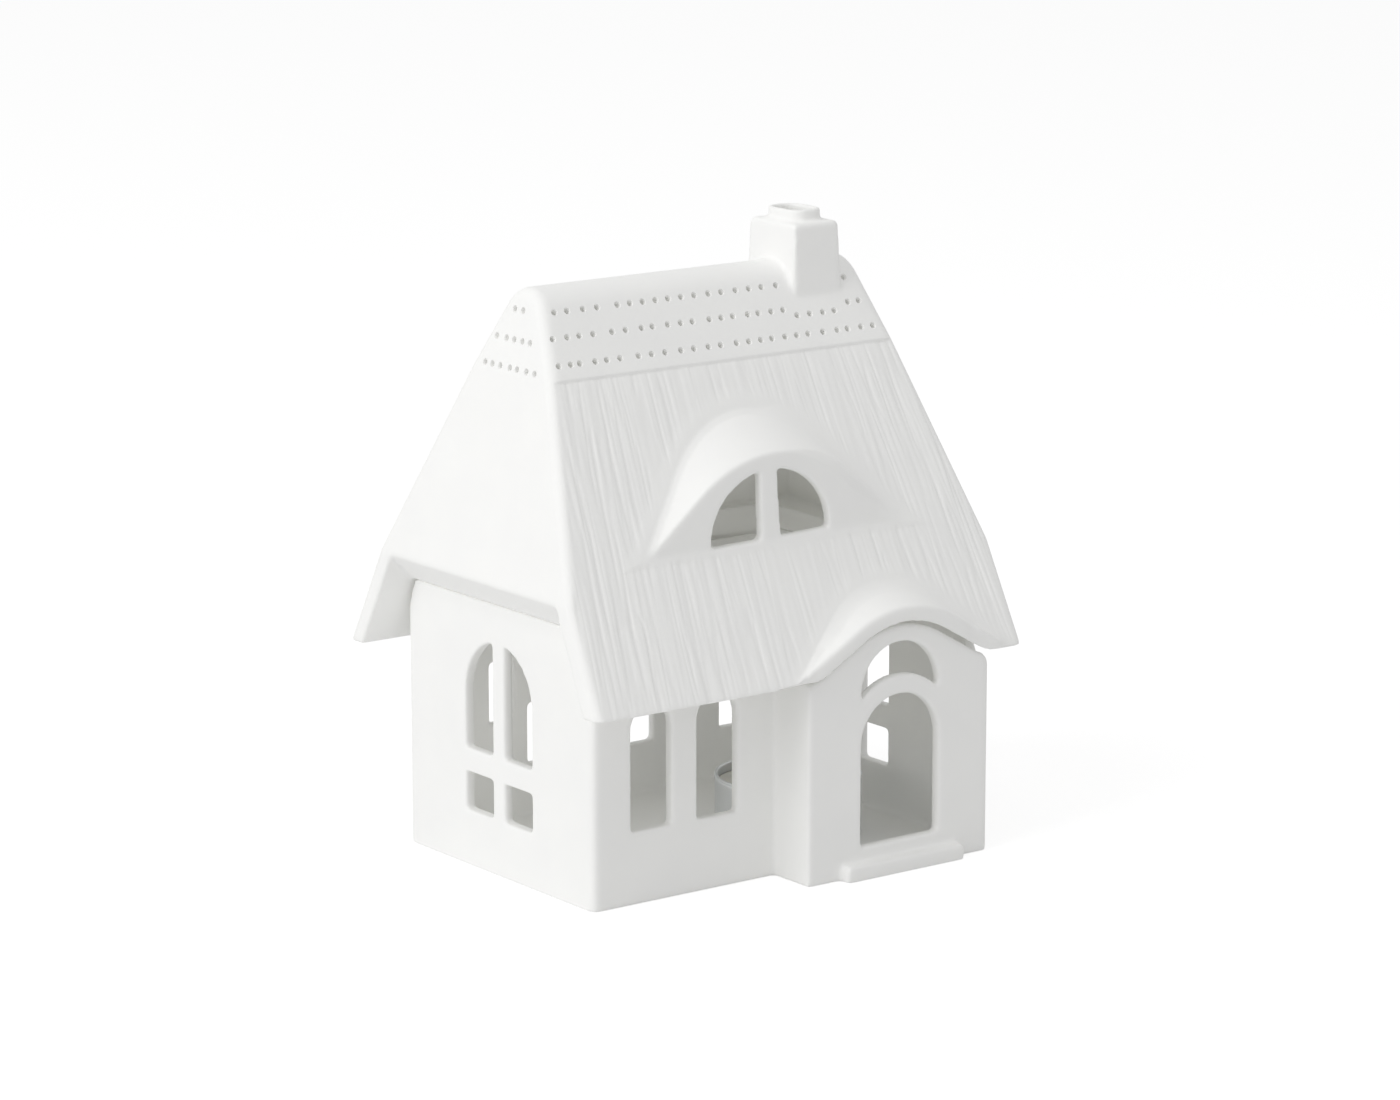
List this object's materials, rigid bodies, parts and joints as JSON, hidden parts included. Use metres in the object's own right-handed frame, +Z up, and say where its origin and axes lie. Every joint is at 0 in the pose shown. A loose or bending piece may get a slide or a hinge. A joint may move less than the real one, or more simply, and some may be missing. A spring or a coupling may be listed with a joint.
{
  "type": "tealight house",
  "caption": "White porcelain cottage with a thatched lift-off roof, eyebrow dormer, swept-up eave over an arched door and a chimney flue, standing over a tealight in an aluminium cup.",
  "frame": {"origin": "on the base, at the middle of the whole object's outside", "axes": "+Z up to the chimney, -Y out of the front with the door, +X to the right of the front"},
  "size_m": [0.1338, 0.1114, 0.1617],
  "materials": {
    "bisque_walls": "matt unglazed porcelain",
    "bisque_roof": "matt unglazed porcelain",
    "cup_aluminium": "pressed sheet",
    "wax_white": "paraffin wax",
    "tab_metal": "tinned",
    "wick_cotton": "waxed braid"
  },
  "bodies": {
    "house_body": {"house": "bisque_walls"},
    "roof_body": {"roof": "bisque_roof"},
    "tealight": {"tealight_cup": "cup_aluminium", "wax": "wax_white", "wick_tab": "tab_metal", "wick": "wick_cotton"}
  },
  "joints": [
    {"name": "roof_lift", "type": "slide", "parent": "house_body", "child": "roof_body", "axis": [0, 0, 1], "range_m": [0, 0.11]},
    {"name": "tealight_lift", "type": "slide", "parent": "house_body", "child": "tealight", "axis": [0, 0, 1], "range_m": [0, 0.069]}
  ]
}
